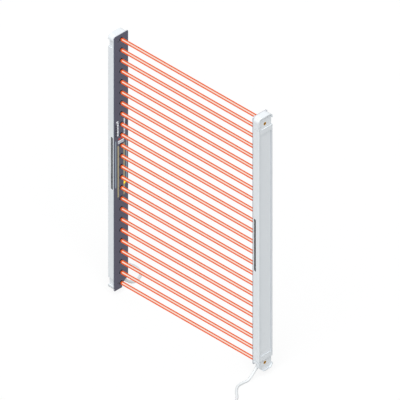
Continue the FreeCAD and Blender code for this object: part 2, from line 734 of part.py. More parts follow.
SHANK_START = PLUG_BOOT_LENGTH + PLUG_GRIP_LENGTH
NUT_START = SHANK_START + NUT_PLAY
NUT_LENGTH = NUT_KNURL_LENGTH + NUT_THREAD_LENGTH
POCKET_DEPTH = PLUG_COLLAR + NUT_PLAY
COLLAR_START = NUT_START + NUT_LENGTH - PLUG_COLLAR
CARRIER_END = COLLAR_START + PLUG_COLLAR + PLUG_SLEEVE_LENGTH


def plug_grip():
    profile = [
        (0, 0),
        (PLUG_BOOT_RADIUS, 0),
        (PLUG_BOOT_WIDE, PLUG_BOOT_LENGTH),
        (PLUG_GRIP_RADIUS, PLUG_BOOT_LENGTH + 1.0),
        (PLUG_GRIP_RADIUS, SHANK_START),
        (PLUG_FOOT_RADIUS, SHANK_START),
        (PLUG_FOOT_RADIUS, SHANK_START - PLUG_FOOT),
        (0, SHANK_START - PLUG_FOOT),
    ]
    return faceted(profile, SMALL_SIDES)


def plug_carrier():
    """Contact carrier: foot in the grip, shank under the nut, collar that holds the nut, open sleeve."""
    up = Vector(0, 0, 1)
    foot = prism(up * (SHANK_START - PLUG_FOOT), up, PLUG_FOOT_RADIUS, PLUG_FOOT, SMALL_SIDES)
    shank = rod(up * SHANK_START, up, PLUG_SHANK_RADIUS, COLLAR_START - SHANK_START)
    collar = prism(up * COLLAR_START, up, PLUG_COLLAR_RADIUS, PLUG_COLLAR, NUT_SIDES)
    sleeve_start = COLLAR_START + PLUG_COLLAR
    sleeve = prism(up * sleeve_start, up, PLUG_SLEEVE_RADIUS, PLUG_SLEEVE_LENGTH, NUT_SIDES)
    chamber = prism(up * (CARRIER_END - PLUG_CHAMBER), up, PLUG_SLEEVE_BORE, PLUG_CHAMBER + 1,
                    NUT_SIDES)
    return foot.fuse([shank, collar, sleeve]).cut(chamber).removeSplitter()


def plug_contacts():
    floor = CARRIER_END - PLUG_CHAMBER
    length = PLUG_CHAMBER - PIN_RECESS
    up = Vector(0, 0, 1)
    pins = [prism(Vector(0, 0, floor), up, PIN_RADIUS, length, PIN_SIDES)]
    for i in range(4):
        angle = math.radians(45 + 90 * i)
        place = Vector(PIN_CIRCLE * math.cos(angle), PIN_CIRCLE * math.sin(angle), floor)
        pins.append(prism(place, up, PIN_RADIUS, length, PIN_SIDES))
    return Part.makeCompound(pins)


def plug_nut():
    """Coupling nut: fluted ring and threaded nose, free to turn on the carrier's shank."""
    up = Vector(0, 0, 1)
    corners = []
    for i in range(NUT_FLUTES):
        for part, radius in ((0, NUT_RADIUS), (0.6, NUT_RADIUS), (0.8, NUT_RADIUS - NUT_FLUTE_DEPTH)):
            angle = 2 * math.pi * (i + part) / NUT_FLUTES
            corners.append(Vector(radius * math.cos(angle), radius * math.sin(angle), NUT_START))
    fluted = Part.Face(Part.makePolygon(corners + corners[:1])).extrude(up * NUT_KNURL_LENGTH)
    nose = prism(up * (NUT_START + NUT_KNURL_LENGTH), up, NUT_THREAD_RADIUS, NUT_THREAD_LENGTH,
                 NUT_SIDES)
    end = NUT_START + NUT_KNURL_LENGTH + NUT_THREAD_LENGTH
    bore = rod(up * (NUT_START - 1), up, PLUG_SHANK_RADIUS + NUT_CLEARANCE, end - NUT_START + 2)
    pocket_radius = (PLUG_COLLAR_RADIUS + NUT_CLEARANCE) / math.cos(math.pi / NUT_SIDES)
    pocket = prism(up * (end - POCKET_DEPTH), up, pocket_radius, POCKET_DEPTH + 1, NUT_SIDES)
    return fluted.fuse(nose).cut([bore, pocket]).removeSplitter()


def plug_seal():
    """Ring seal round the root of the nut's thread."""
    middle = NUT_THREAD_RADIUS / math.cos(math.pi / NUT_SIDES) + SEAL_RADIUS
    height = NUT_START + NUT_KNURL_LENGTH + SEAL_RADIUS
    section = []
    for i in range(SEAL_SIDES):
        angle = 2 * math.pi * (i + 0.5) / SEAL_SIDES
        section.append((middle + SEAL_RADIUS * math.cos(angle), height + SEAL_RADIUS * math.sin(angle)))
    return faceted(section, NUT_SIDES)


def at_plug(shape, route):
    """Puts a plug piece at the end of a cable's route, level, and heading the way the cable does."""
    heading = route[-1] - route[-2]
    level = Vector(heading.x, heading.y, 0).normalize()
    place = Placement(route[-1], Rotation(Vector(0, 0, 1), level))
    shape.Placement = place.multiply(shape.Placement)
    return shape


# ---- The two units ----
def unit_nodes(route):
    cable, length, radii, ratio = tube(route, CABLE_RADIUS, CABLE_SIDES)
    print("cable length %.1f, bends %s, volume ratio %.4f"
          % (length, " ".join("%.1f" % r for r in radii), ratio))
    return {
        "housing": housing(),
        "front_panel": front_panel(),
        "lens_strip": lens_strip(),
        "optics_holder": optics_holder(),
        "circuit_board": circuit_board(),
        "diodes": diodes(),
        "control_chips": control_chips(),
        "wire_header": wire_header(),
        "lead_wires": lead_wires(),
        "left_side_strip": side_strip(-1),
        "right_side_strip": side_strip(1),
        "outer_indicator_bars": indicator_bars("outer"),
        "inner_indicator_bars": indicator_bars("inner"),
        "status_light": status_light(),
        "panel_screws": panel_screws(),
        "top_cap": top_cap(),
        "bottom_cap": bottom_cap(),
        "top_gasket": cap_gasket(),
        "bottom_gasket": flip(cap_gasket()),
        "top_insert": insert(),
        "bottom_insert": flip(insert()),
        "strain_relief": strain_relief(),
        "cable": cable,
        "plug_grip": at_plug(plug_grip(), route),
        "plug_carrier": at_plug(plug_carrier(), route),
        "plug_contacts": at_plug(plug_contacts(), route),
        "plug_nut": at_plug(plug_nut(), route),
        "plug_seal": at_plug(plug_seal(), route),
    }


def main():
    os.makedirs("parts", exist_ok=True)
    opposite = Placement(
        Vector(2 * X_FACE + FIELD_DEPTH, 0, 0), Rotation(Vector(0, 0, 1), 180)
    )
    for unit, route, place in (
        ("emitter", EMITTER_ROUTE, Placement()),
        ("receiver", RECEIVER_ROUTE, opposite),
    ):
        for name, shape in unit_nodes(route).items():
            shape.Placement = place.multiply(shape.Placement)
            shape.exportStep("parts/%s_%s.step" % (unit, name))


main()
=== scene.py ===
"""Safety light curtain: looks for the emitter, the receiver, their beams, pigtails and plugs.

Every piece is in metres, in the frame of the CAD. Places come from the boxes of the CAD nodes, or
are given in a unit's own axes: depth behind its optical face, way across that face, and height.
"""

import json
import math

import bmesh
import bpy
from mathutils import Matrix, Vector


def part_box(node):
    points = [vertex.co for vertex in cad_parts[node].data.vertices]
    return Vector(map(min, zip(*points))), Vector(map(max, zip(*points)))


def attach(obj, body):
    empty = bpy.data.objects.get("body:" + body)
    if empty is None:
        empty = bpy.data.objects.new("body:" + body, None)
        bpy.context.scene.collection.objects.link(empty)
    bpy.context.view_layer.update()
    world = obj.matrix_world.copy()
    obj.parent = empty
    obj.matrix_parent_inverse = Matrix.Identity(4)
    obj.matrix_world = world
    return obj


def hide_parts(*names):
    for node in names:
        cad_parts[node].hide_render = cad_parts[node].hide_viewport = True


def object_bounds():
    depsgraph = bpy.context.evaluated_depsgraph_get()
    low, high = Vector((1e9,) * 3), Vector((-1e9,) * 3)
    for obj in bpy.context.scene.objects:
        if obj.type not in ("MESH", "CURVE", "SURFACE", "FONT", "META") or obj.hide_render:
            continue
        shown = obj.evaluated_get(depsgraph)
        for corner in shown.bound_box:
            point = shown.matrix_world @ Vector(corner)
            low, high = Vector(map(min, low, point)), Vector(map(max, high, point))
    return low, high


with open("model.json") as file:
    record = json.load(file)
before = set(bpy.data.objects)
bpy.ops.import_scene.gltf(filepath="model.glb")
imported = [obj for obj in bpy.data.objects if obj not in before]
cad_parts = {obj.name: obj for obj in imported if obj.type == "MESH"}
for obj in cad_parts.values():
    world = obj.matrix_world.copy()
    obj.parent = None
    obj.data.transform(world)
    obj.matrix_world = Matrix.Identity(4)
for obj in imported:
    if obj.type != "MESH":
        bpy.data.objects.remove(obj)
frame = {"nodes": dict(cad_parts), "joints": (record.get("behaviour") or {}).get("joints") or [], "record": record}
CAD_BOX = [list(corner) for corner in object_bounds()]
NODES = frame["nodes"]
JOINTS = {joint["name"]: joint for joint in frame["joints"]}

MM = 0.001
ROOT = "curtain"
UNITS = ("emitter", "receiver")

# ---- Materials ----
NOISE_LOW = 0.3  # most values of a noise texture lie between these two
NOISE_HIGH = 0.7
BLOTCH_SCALE = 40
BLOTCH_DETAIL = 2.0
GRAIN_DETAIL = 3.0
GRAIN_HEIGHT = 0.1 * MM
GLOSS_SHARE = 0.15  # the share of itself by which a roughness varies
LIGHT_SCALE = 60
LIGHT_DETAIL = 1.0
LIGHT_SHARE = 0.02


def set_input(shader, **values):
    """Sets a Principled shader's sockets by name, with _ for a space."""
    for key, value in values.items():
        shader.inputs[key.replace("_", " ")].default_value = value


def principled(name):
    """A new material, its node tree and its Principled shader."""
    made = bpy.data.materials.new(name)
    made.use_nodes = True
    return made, made.node_tree, made.node_tree.nodes["Principled BSDF"]


def noise(tree, scale, detail):
    """Noise over the object's own coordinates, in metres."""
    where = tree.nodes.new("ShaderNodeTexCoord")
    texture = tree.nodes.new("ShaderNodeTexNoise")
    texture.inputs["Scale"].default_value = scale
    texture.inputs["Detail"].default_value = detail
    tree.links.new(where.outputs["Object"], texture.inputs["Vector"])
    return texture.outputs["Fac"]


def spread(tree, value, low, high):
    """A noise value brought to the range from low to high."""
    scale = tree.nodes.new("ShaderNodeMapRange")
    scale.inputs["From Min"].default_value = NOISE_LOW
    scale.inputs["From Max"].default_value = NOISE_HIGH
    scale.inputs["To Min"].default_value = low
    scale.inputs["To Max"].default_value = high
    tree.links.new(value, scale.inputs["Value"])
    return scale.outputs["Result"]


def tint(tree, value, color, amount):
    """A colour that varies by a share of itself with a noise value."""
    mix = tree.nodes.new("ShaderNodeMix")
    mix.data_type = "RGBA"
    mix.inputs["A"].default_value = [c * (1 - amount) for c in color] + [1]
    mix.inputs["B"].default_value = [min(1, c * (1 + amount)) for c in color] + [1]
    tree.links.new(value, mix.inputs["Factor"])
    return mix.outputs["Result"]


def finish_of(name, color, rough, vary=0.02, grain=900, bump=0.06, **more):
    """Moulded, turned or extruded finish: blotchy tint, uneven gloss and a fine grain in relief."""
    made, tree, shader = principled(name)
    set_input(shader, **more)
    wide = spread(tree, noise(tree, BLOTCH_SCALE, BLOTCH_DETAIL), 0, 1)
    tree.links.new(tint(tree, wide, color, vary), shader.inputs["Base Color"])
    fine = noise(tree, grain, GRAIN_DETAIL)
    gloss = spread(tree, fine, rough * (1 - GLOSS_SHARE), rough * (1 + GLOSS_SHARE))
    tree.links.new(gloss, shader.inputs["Roughness"])
    if bump:
        relief = tree.nodes.new("ShaderNodeBump")
        relief.inputs["Strength"].default_value = bump
        relief.inputs["Distance"].default_value = GRAIN_HEIGHT
        tree.links.new(fine, relief.inputs["Height"])
        tree.links.new(relief.outputs["Normal"], shader.inputs["Normal"])
    return made


def light_of(name, color, strength, alpha=1.0):
    """Light itself: constant emission, faintly uneven, and see-through where alpha is under 1."""
    made, tree, shader = principled(name)
    set_input(
        shader,
        Base_Color=(0, 0, 0, 1),
        Roughness=1.0,
        Specular_IOR_Level=0.0,
        Alpha=alpha,
        Emission_Strength=strength,
    )
    wide = spread(tree, noise(tree, LIGHT_SCALE, LIGHT_DETAIL), 0, 1)
    tree.links.new(tint(tree, wide, color, LIGHT_SHARE), shader.inputs["Emission Color"])
    return made


def two_tone(made, color, part):
    """Paints another colour where a part from 0 to 1 of a made finish's tree is 1."""
    tree = made.node_tree
    base = tree.nodes["Principled BSDF"].inputs["Base Color"]
    mix = tree.nodes.new("ShaderNodeMix")
    mix.data_type = "RGBA"
    tree.links.new(base.links[0].from_socket, mix.inputs["A"])
    mix.inputs["B"].default_value = (*color, 1)
    tree.links.new(part(tree), mix.inputs["Factor"])
    tree.links.new(mix.outputs["Result"], base)


def calculate(tree, operation, *values):
    """A Math node's output; each value is a number or another node's output."""
    made = tree.nodes.new("ShaderNodeMath")
    made.operation = operation
    for socket, value in zip(made.inputs, values):
        if isinstance(value, (int, float)):
            socket.default_value = value
        else:
            tree.links.new(value, socket)
    return made.outputs[0]


def over(tree, value, limit):
    """1 where a value is over a limit, and 0 elsewhere."""
    return calculate(tree, "GREATER_THAN", value, limit)


def both(tree, one, other):
    """What two parts from 0 to 1 share."""
    return calculate(tree, "MULTIPLY", one, other)


def either(tree, first, *others):
    """The highest of several parts from 0 to 1."""
    made = first
    for other in others:
        made = calculate(tree, "MAXIMUM", made, other)
    return made


def distances(tree, centre):
    """How far a point of the object lies from a centre along x, y and z."""
    where = tree.nodes.new("ShaderNodeTexCoord")
    apart = tree.nodes.new("ShaderNodeSeparateXYZ")
    tree.links.new(where.outputs["Object"], apart.inputs["Vector"])
    return [
        calculate(tree, "ABSOLUTE", calculate(tree, "SUBTRACT", apart.outputs[axis], middle))
        for axis, middle in zip("XYZ", centre)
    ]


panel_low, panel_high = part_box("emitter_front_panel")
body_low, body_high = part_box("emitter_housing")
FIELD_MIDDLE = (panel_high.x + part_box("receiver_front_panel")[0].x) / 2
HALF_FIELD = FIELD_MIDDLE - panel_high.x
SIDE_SKIN = 0.7 * MM  # how far the panel's dark front runs round onto its sides
END_SKIN = 0.2 * MM  # the same on its ends
BACK_SKIN = 0.15 * MM
PANEL_BORDER = 0.3 * MM
PANEL_CORNER = 2.4 * MM
PANEL_BITE = 13.8 * MM  # a little more than the radius of the concave corner by the cable
RECESS_RIM = 3.5 * MM
RECESS_DEPTH = 1.2 * MM
RECESS_END = 209.0 * MM
WALL_SKIN = 0.12 * MM  # half the width of what counts as a wall
LIP = 1.8 * MM
END_SHARE = 0.5  # how much of the walls' shade the ends of the recess and the lips have


def panel_sides(tree):
    """1 on the panel's sides, ends, back and concave corner, behind its dark front skin."""
    x, y, z = distances(tree, (FIELD_MIDDLE, 0, 0))
    side = both(
        tree,
        over(tree, x, HALF_FIELD + SIDE_SKIN),
        over(tree, y, panel_high.y - PANEL_BORDER),
    )
    corner = both(
        tree,
        over(tree, y, panel_high.y - PANEL_CORNER),
        over(tree, z, panel_high.z - PANEL_CORNER),
    )
    end = over(tree, z, panel_high.z - PANEL_BORDER)
    back = over(tree, x, HALF_FIELD + panel_high.x - panel_low.x - BACK_SKIN)

    _, beside, above = distances(tree, (0, 0, panel_low.z))
    beside = calculate(tree, "SUBTRACT", beside, panel_high.y)
    square = calculate(tree, "ADD", both(tree, beside, beside), both(tree, above, above))
    bite = calculate(tree, "LESS_THAN", square, PANEL_BITE ** 2)

    at_end = both(
        tree,
        over(tree, x, HALF_FIELD + END_SKIN),
        either(tree, corner, end, bite),
    )
    return either(tree, side, at_end, back)


def painted_recess_shade(tree):
    """Painted shade: 1 on the side walls of the recess in a housing's back, less on its ends and on the lips."""
    x, y, z = distances(tree, (FIELD_MIDDLE, 0, 0))
    depth = over(tree, x, FIELD_MIDDLE - body_low.x - RECESS_DEPTH - WALL_SKIN)
    wall = calculate(tree, "COMPARE", y, body_high.y - RECESS_RIM, WALL_SKIN)
    end = calculate(tree, "COMPARE", z, RECESS_END, WALL_SKIN)
    lip = calculate(tree, "COMPARE", z, panel_high.z - LIP, WALL_SKIN)
    walls = both(tree, depth, either(tree, wall, both(tree, end, END_SHARE)))
    return either(tree, walls, both(tree, lip, END_SHARE))


FINISHES = {
    "housing_grey": finish_of(
        "housing_plastic", (0.745, 0.780, 0.805), 0.45, vary=0.008, bump=0.05
    ),
    "panel_slate": finish_of("panel_slate", (0.057, 0.052, 0.092), 0.34, vary=0.05, bump=0.03),
    "smoked_lens": finish_of(
        "smoked_lens", (0.010, 0.007, 0.014), 0.22, vary=0.1, bump=0.0, Specular_IOR_Level=0.2
    ),
    "optics_black": finish_of("optics_black", (0.03, 0.03, 0.03), 0.6),
    "board_green": finish_of("board_green", (0.03, 0.20, 0.09), 0.35, vary=0.08),
    "diode_clear": finish_of("diode_clear", (0.55, 0.55, 0.60), 0.15, bump=0.0),
    "chip_black": finish_of("chip_black", (0.03, 0.03, 0.03), 0.5),
    "header_white": finish_of("header_white", (0.80, 0.80, 0.76), 0.5),
    "wire_sleeve": finish_of("wire_sleeve", (0.35, 0.10, 0.08), 0.4),
    "strip_grey": finish_of("strip_grey", (0.036, 0.041, 0.045), 0.6, vary=0.05),
    "bar_blue": finish_of("bar_blue", (0.27, 0.35, 0.41), 0.22, vary=0.05, bump=0.02),
    "bar_olive": finish_of("bar_olive", (0.42, 0.35, 0.19), 0.22, vary=0.05, bump=0.02),
    "light_yellow": finish_of(
        "light_yellow",
        (1.0, 0.75, 0.02),
        0.25,
        bump=0.0,
        Emission_Color=(1.0, 0.66, 0.0, 1),
        Emission_Strength=0.35,
    ),
    "screw_dark": finish_of("screw_dark", (0.08, 0.08, 0.09), 0.35, Metallic=0.8),
    "seal_rubber": finish_of("seal_rubber", (0.52, 0.55, 0.57), 0.7),
    "insert_brass": finish_of(
        "insert_brass", (0.50, 0.26, 0.025), 0.42, vary=0.06, grain=2500, Metallic=1.0
    ),
    "cable_grey": finish_of("cable_jacket", (0.70, 0.72, 0.73), 0.5, bump=0.08),
    "plug_black": finish_of("plug_black", (0.035, 0.035, 0.04), 0.45, bump=0.15),
    "contact_gold": finish_of("contact_gold", (0.90, 0.62, 0.22), 0.22, Metallic=1.0),
    "nut_metal": finish_of("nut_metal", (0.46, 0.46, 0.45), 0.45, grain=3000, Metallic=1.0),
    "seal_red": finish_of("seal_red", (0.45, 0.04, 0.03), 0.55),
}
two_tone(FINISHES["panel_slate"], (0.60, 0.61, 0.65), panel_sides)
# Painted shade: a darker grey on the side walls of the recess in each housing's back, fainter on its ends and lips
two_tone(FINISHES["housing_grey"], (0.50, 0.53, 0.57), painted_recess_shade)
PRINT_WHITE = finish_of("print_white", (0.88, 0.89, 0.94), 0.4, vary=0.05)
PRINT_BLACK = finish_of(
    "print_black", (0.008, 0.005, 0.012), 0.6, vary=0.05, Specular_IOR_Level=0.1
)
PRINT_RED = finish_of("print_red", (0.56, 0.02, 0.012), 0.4, vary=0.05)
# Painted highlight: a bluish slate for the lit rounded edges of each dark front
PAINTED_EDGE_HIGHLIGHT = finish_of("painted_edge_highlight", (0.085, 0.125, 0.170), 0.3, vary=0.04, bump=0.02)
# Painted shade for the cross recesses of the panel screws, which are not cut
SHADE = finish_of("painted_screw_shade", (0.012, 0.012, 0.012), 0.7, bump=0.0)
BEAM_SHELL = light_of("beam_orange", (0.865, 0.125, 0.02), 1.0, alpha=0.8)
# Painted highlight: a pale, brighter core of light along the middle of each glowing beam
BEAM_HIGHLIGHT_CORE = light_of("beam_highlight_core", (0.40, 1.0, 0.97), 3.3)

for row in frame["record"]["subparts"]:
    node = NODES[row["node"]]
    node.data.materials.clear()
    node.data.materials.append(FINISHES[row["material_slot"]])

# ---- Helpers for geometry ----
ON_AXIS = 1e-7  # a smaller radius is a point on a lathe's axis
RIDGE_FOOT = 0.42  # half the width of a thread's ridge at its root, as a share of the pitch
FINE_STEPS = 48  # sides of a turned shape that is seen from close by


def new_piece(name, mesh_or_curve, material, body=ROOT):
    """An object with one material that rides on a body."""
    piece = bpy.data.objects.new(name, mesh_or_curve)
    piece.data.materials.append(material)
    bpy.context.scene.collection.objects.link(piece)
    if body:
        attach(piece, body)
    return piece


def mesh_piece(name, build, material, body=ROOT, smooth_below=None):
    """A piece from a function that fills a bmesh, shaded smooth below an angle in degrees."""
    shape = bmesh.new()
    build(shape)
    bmesh.ops.recalc_face_normals(shape, faces=shape.faces)
    mesh = bpy.data.meshes.new(name)
    shape.to_mesh(mesh)
    shape.free()
    piece = new_piece(name, mesh, material, body)
    if smooth_below:
        for polygon in mesh.polygons:
            polygon.use_smooth = True
        mesh.set_sharp_from_angle(angle=math.radians(smooth_below))
    return piece


def lathe(shape, profile, place, steps):
    """Adds a solid turned from (radius, height) points about the z axis of a 4 by 4 place.

    The last point joins the first, unless one of the two is on the axis.
    """
    rings = []
    for radius, height in profile:
        if radius < ON_AXIS:
            rings.append([shape.verts.new(place @ Vector((0, 0, height)))])
            continue
        rings.append([
            shape.verts.new(place @ Vector((
                radius * math.cos(2 * math.pi * i / steps),
                radius * math.sin(2 * math.pi * i / steps),
                height,
            )))
            for i in range(steps)
        ])
    pairs = list(zip(rings, rings[1:]))
    if len(rings[0]) > 1 and len(rings[-1]) > 1:
        pairs.append((rings[-1], rings[0]))
    for low, high in pairs:
        for i in range(steps):
            j = (i + 1) % steps
            corners = [
                low[i % len(low)],
                low[j % len(low)],
                high[j % len(high)],
                high[i % len(high)],
            ]
            unique = list(dict.fromkeys(corners))
            if len(unique) > 2:
                shape.faces.new(unique)


def ridges(shape, place, radius, depth, start, length, pitch, steps=32):
    """A thread's ridge: a helix of triangular section that stands depth off a radius."""
    count = int(length / pitch * steps)
    foot = pitch * RIDGE_FOOT
    rows = []
    for i in range(count + 1):
        angle = 2 * math.pi * i / steps
        height = start + pitch * i / steps
        rows.append([
            shape.verts.new(place @ Vector((r * math.cos(angle), r * math.sin(angle), height + h)))
            for r, h in ((radius, -foot), (radius + depth, 0), (radius, foot))
        ])
    for low, high in zip(rows, rows[1:]):
        for i in range(3):
            j = (i + 1) % 3
            shape.faces.new([low[i], low[j], high[j], high[i]])
    shape.faces.new(rows[0])
    shape.faces.new(rows[-1][::-1])


def block(shape, low, high, bevel=0.0):
    """Adds a box from its lowest to its highest corner, its edges rounded by bevel."""
    size = [b - a for a, b in zip(low, high)]
    middle = [(a + b) / 2 for a, b in zip(low, high)]
    made = bmesh.ops.create_cube(
        shape, size=1.0, matrix=Matrix.Translation(middle) @ Matrix.Diagonal((*size, 1))
    )
    if bevel:
        edges = list({edge for vert in made["verts"] for edge in vert.link_edges})
        bmesh.ops.bevel(shape, geom=edges, offset=bevel, segments=2, affect="EDGES", profile=0.5)


def pointing(origin, direction):
    """The place at a point with its z axis along a direction."""
    turn = Vector(direction).to_track_quat("Z", "Y").to_matrix().to_4x4()
    return Matrix.Translation(origin) @ turn


class Unit:
    """One unit's own axes: into the field, across (cable side positive) and up."""

    def __init__(self, name):
        self.name = name
        self.sign = 1 if name == "emitter" else -1
        self.low, self.high = self.box("front_panel")
        self.face = self.high.x if self.sign > 0 else self.low.x
        self.middle = (self.low.y + self.high.y) / 2
        self.into_field = Vector((self.sign, 0, 0))

    def box(self, node):
        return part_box(self.name + "_" + node)

    def across(self, low, high):
        """The way across of the middle of a box."""
        return self.sign * ((low.y + high.y) / 2 - self.middle)

    def at(self, depth, across, up):
        """A point given by its depth behind the optical face, its way across and its height."""
        return Vector((self.face - self.sign * depth, self.middle + self.sign * across, up))

    def block(self, shape, depth, across, up, bevel=0.0):
        """A box between pairs of depths, ways across and heights."""
        ends = [self.at(depth[0], across[0], up[0]), self.at(depth[1], across[1], up[1])]
        low = [min(a, b) for a, b in zip(*ends)]
        high = [max(a, b) for a, b in zip(*ends)]
        block(shape, low, high, bevel)


UNIT = {name: Unit(name) for name in UNITS}

# ---- Camera ----
AZIMUTH = math.radians(44.87)
ELEVATION = math.radians(35.09)
LOOK_RIGHT = 14.9 * MM
LOOK_UP = 0.66 * MM
CAMERA_DISTANCE = 2.5
VIEW_WIDTH = 0.6185
CLIP_END = 20

curtain_middle = (body_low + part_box("receiver_housing")[1]) / 2
back = Vector((
    math.sin(AZIMUTH) * math.cos(ELEVATION),
    -math.cos(AZIMUTH) * math.cos(ELEVATION),
    math.sin(ELEVATION),
))
to_right = Vector((math.cos(AZIMUTH), math.sin(AZIMUTH), 0))
look_at = curtain_middle + to_right * LOOK_RIGHT + Vector((0, 0, LOOK_UP))
camera_data = bpy.data.cameras.new("camera")
camera_data.type = "ORTHO"
camera_data.ortho_scale = VIEW_WIDTH
camera_data.clip_end = CLIP_END
camera = bpy.data.objects.new("camera", camera_data)
camera.location = look_at + back * CAMERA_DISTANCE
camera.rotation_mode = "QUATERNION"
camera.rotation_quaternion = (-back).to_track_quat("-Z", "Y")
bpy.context.scene.collection.objects.link(camera)
bpy.context.scene.camera = camera

# ---- Cables and the threads of their plugs ----
# The routes are in a unit's frame, in millimetres. The emitter's is that of part.py, and four
# points of the receiver's lie up to about 4 mm from part.py's.
CABLE_DIAMETER = 4.5 * MM
CABLE_BEVEL_STEPS = 6
CABLE_ROUTE_STEPS = 12
FACE_IN_UNIT = 11.5  # x of the optical face
LAY_Z = -248.0
PLUG_AXIS_Z = -243.0
ROUTE_START = [(5.9, 16.371068, -236.271068), (5.9, 28.1, LAY_Z)]
ROUTES = {
    "emitter": ROUTE_START + [
        (6.4, 42.1, LAY_Z),
        (0.5, 54.8, LAY_Z),
        (-11.0, 62.8, LAY_Z),
        (-24.9, 64.0, LAY_Z),
        (-38.4, 60.4, LAY_Z),
        (-53.8, 63.0, PLUG_AXIS_Z),
        (-66.4, 72.6, PLUG_AXIS_Z),
    ],
    "receiver": ROUTE_START + [
        (8.0, 41.0, LAY_Z),
        (8.0, 52.0, LAY_Z),
        (-0.5, 63.5, LAY_Z),
        (-12.5, 73.0, LAY_Z),
        (-22.5, 86.5, LAY_Z),
        (-32.0, 97.0, PLUG_AXIS_Z),
        (-42.5, 106.5, PLUG_AXIS_Z),
    ],
}
ON_CORD = ("strain_relief", "plug_grip", "plug_carrier", "plug_contacts", "plug_nut", "plug_seal")

THREAD_ROOT = 5.9 * MM
THREAD_HEIGHT = 0.25 * MM
THREAD_PITCH = 1.0 * MM
THREAD_FROM_END = 6.9 * MM
THREAD_LENGTH = 6.2 * MM


def nut_thread(name):
    """The thread on the nose of a plug's coupling nut, which turns with it."""
    joint = JOINTS[name + "_nut_turn"]
    origin, axis = Vector(joint["pos_m"]), Vector(joint["axis"]).normalized()
    nut = NODES[name + "_plug_nut"]
    end = max((vert.co - origin).dot(axis) for vert in nut.data.vertices)

    def build(shape):
        ridges(
            shape,
            pointing(origin, axis),
            THREAD_ROOT,
            THREAD_HEIGHT,
            end - THREAD_FROM_END,
            THREAD_LENGTH,
            THREAD_PITCH,
            FINE_STEPS,
        )

    return mesh_piece(
        name + "_nut_thread",
        build,
        FINISHES["nut_metal"],
        body=name + "_coupling",
        smooth_below=30,
    )


def cable(name):
    """A unit's pigtail: its jacket along the route, in place of the CAD cable, and the thread on its plug's nut.
    """
    unit = UNIT[name]
    data = bpy.data.curves.new(name + "_cable_jacket", "CURVE")
    data.dimensions = "3D"
    data.bevel_depth = CABLE_DIAMETER / 2
    data.bevel_resolution = CABLE_BEVEL_STEPS
    data.resolution_u = CABLE_ROUTE_STEPS
    data.use_fill_caps = True
    spline = data.splines.new("NURBS")
    points = [unit.at((FACE_IN_UNIT - x) * MM, y * MM, z * MM) for x, y, z in ROUTES[name]]
    spline.points.add(len(points) - 1)
    for point, place in zip(spline.points, points):
        point.co = (*place, 1)
    spline.order_u = 3
    spline.use_endpoint_u = True
    piece = new_piece(name + "_cable_jacket", data, FINISHES["cable_grey"], ROOT)
    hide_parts(name + "_cable")
    [NODES[name + "_" + part] for part in ON_CORD] + [nut_thread(name)]


for name in UNITS:
    cable(name)

# ---- Beams: light from each emitter aperture to the receiver aperture that faces it ----
BEAM_RADIUS = 3.03 * MM
CORE_RADIUS = 1.0 * MM
BEAM_COUNT = 24
BEAM_SIDES = 32
NOSE_STEPS = 6
BEAM_SINK = 0.1 * MM  # how far behind the mouth of its aperture a beam starts to show
CORE_SINK = -2.1 * MM  # its core starts in front of the mouth
LENS_GAP = 0.05 * MM

diode_low, diode_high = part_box("emitter_diodes")
half_diode = (diode_high.y - diode_low.y) / 2
first_beam = diode_low.z + half_diode
beam_step = (diode_high.z - diode_low.z - 2 * half_diode) / (BEAM_COUNT - 1)
BEAM_HEIGHTS = [first_beam + beam_step * i for i in range(BEAM_COUNT)]
beam_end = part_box("receiver_lens_strip")[0].x - LENS_GAP


def beams(name, radius, sink, material):
    """A round rod of light for each channel, with a rounded nose at the emitter."""
    emitter = UNIT["emitter"]
    start = emitter.face - sink
    profile = [
        (radius * math.sin(turn), radius * (1 - math.cos(turn)))
        for turn in (math.pi / 2 * i / NOSE_STEPS for i in range(NOSE_STEPS + 1))
    ]
    profile += [(radius, beam_end - start), (0, beam_end - start)]

    def build(shape):
        for height in BEAM_HEIGHTS:
            place = pointing((start, emitter.middle, height), emitter.into_field)
            lathe(shape, profile, place, BEAM_SIDES)

    piece = mesh_piece(name, build, material, smooth_below=35)
    piece.visible_shadow = False
    piece.visible_diffuse = False
    piece.visible_glossy = False


beams("beam_shells", BEAM_RADIUS, BEAM_SINK, BEAM_SHELL)
# The cores are a painted highlight along each beam's middle
beams("beam_highlight_cores", CORE_RADIUS, CORE_SINK, BEAM_HIGHLIGHT_CORE)

# ---- Trim on the optical faces: aperture rims, edge strips of painted highlight, screw slots of painted shade and status lens ----
TRIM_LIFT = 0.03 * MM
RIM_INNER = 3.82 * MM
RIM_OUTER = 4.15 * MM
RIM_DEPTH = 1.5 * MM
RIM_CHAMFER = 0.25 * MM
EDGE_SINK = 0.05 * MM
EDGE_DEPTH = 1.1 * MM
EDGE_WIDTH = 0.45 * MM
EDGE_ROUND = 0.15 * MM
EDGE_FOOT = 2 * PANEL_CORNER
EDGE_FOOT_BY_CABLE = 6 * PANEL_CORNER  # clear of the panel's concave corner
TOP_EDGE = 1.1 * MM
TOP_EDGE_INSET = 0.4 * MM
SLOT_LENGTH = 2.1 * MM
SLOT_WIDTH = 0.45 * MM
SLOT_DEPTH = 0.3 * MM
STATUS_WIDTH = 3.4 * MM
STATUS_HEIGHT = 4.6 * MM
STATUS_LIFT = 0.35 * MM
STATUS_SINK = 0.2 * MM
STATUS_ROUND = 0.3 * MM
STATUS_ASIDE = 1.2 * MM  # from the middle of the light pipe, across and up
STATUS_UP = 0.9 * MM


